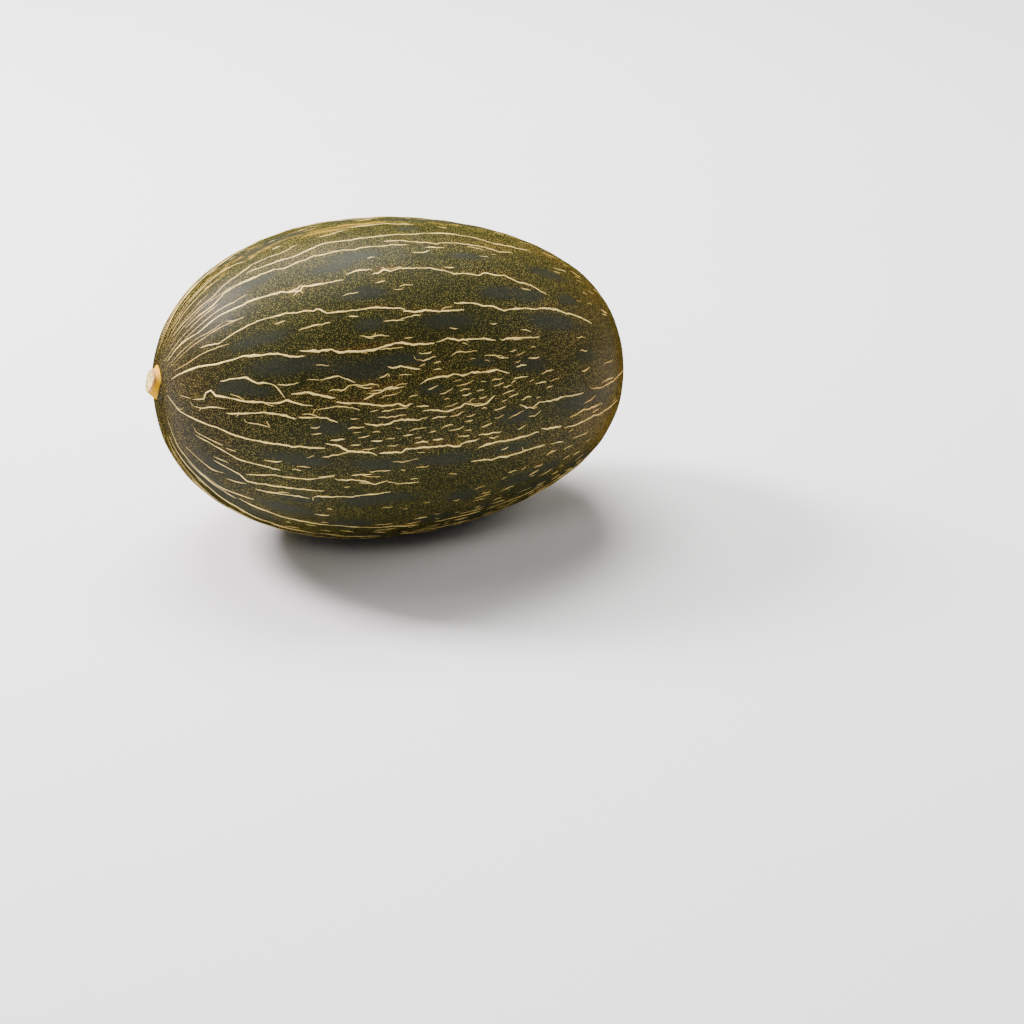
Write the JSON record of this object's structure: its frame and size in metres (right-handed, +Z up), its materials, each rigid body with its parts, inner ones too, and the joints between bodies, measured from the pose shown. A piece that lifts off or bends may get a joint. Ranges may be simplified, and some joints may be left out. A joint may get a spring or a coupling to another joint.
{
  "type": "piel de sapo melon",
  "caption": "Whole long oval melon with dark green, cork-netted skin and a cut stem scar, lying on its side on a small flat spot.",
  "frame": {"origin": "centre of the fruit's outline seen from above, on the surface it rests on", "axes": "+Z up; +X from the stem end towards the blossom end, which is also the longest extent; +Y completes the right-handed frame"},
  "size_m": [0.2564, 0.1688, 0.168],
  "materials": {
    "melon_skin": "satin dark olive-green rind with golden speckles, darker green blotches and raised cream cork lines"
  },
  "bodies": {
    "root": {"melon": "melon_skin"}
  },
  "joints": []
}
